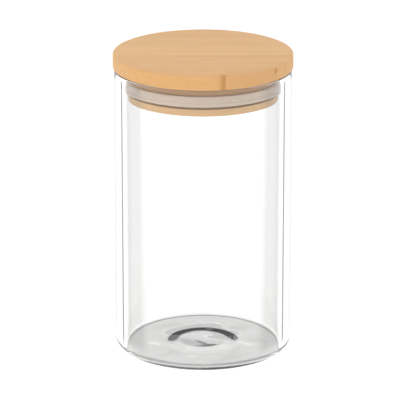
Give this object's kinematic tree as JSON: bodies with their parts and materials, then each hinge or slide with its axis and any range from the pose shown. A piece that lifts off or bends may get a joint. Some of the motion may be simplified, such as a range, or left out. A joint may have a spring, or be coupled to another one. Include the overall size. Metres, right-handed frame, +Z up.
{
  "type": "lidded glass canister",
  "caption": "Straight-sided clear glass storage canister with a flat bamboo lid that pushes in, sealed by a silicone ring round the lid's plug.",
  "frame": {"origin": "centre of the circle that the jar stands on", "axes": "+Z up the jar's axis, +X along the grain of the bamboo lid"},
  "size_m": [0.1012, 0.1012, 0.1727],
  "materials": {
    "glass": "clear, polished",
    "bamboo": "sanded bamboo, lightly oiled",
    "silicone": "translucent milky silicone, satin"
  },
  "bodies": {
    "jar": {"glass_jar": "glass"},
    "seal": {"sealing_ring": "silicone"},
    "lid": {"cap_strip_1": "bamboo", "cap_strip_2": "bamboo", "cap_strip_3": "bamboo", "cap_strip_4": "bamboo", "cap_strip_5": "bamboo", "upper_plug_strip_1": "bamboo", "upper_plug_strip_2": "bamboo", "upper_plug_strip_3": "bamboo", "upper_plug_strip_4": "bamboo", "lower_plug_strip_1": "bamboo", "lower_plug_strip_2": "bamboo", "lower_plug_strip_3": "bamboo", "lower_plug_strip_4": "bamboo"}
  },
  "joints": [
    {"name": "lid_lift", "type": "slide", "parent": "jar", "child": "seal", "axis": [0, 0, 1], "range_m": [0, 0.08]},
    {"name": "lid_turn", "type": "hinge", "parent": "seal", "child": "lid", "pos_m": [0, 0, 0], "axis": [0, 0, 1], "continuous": true}
  ]
}
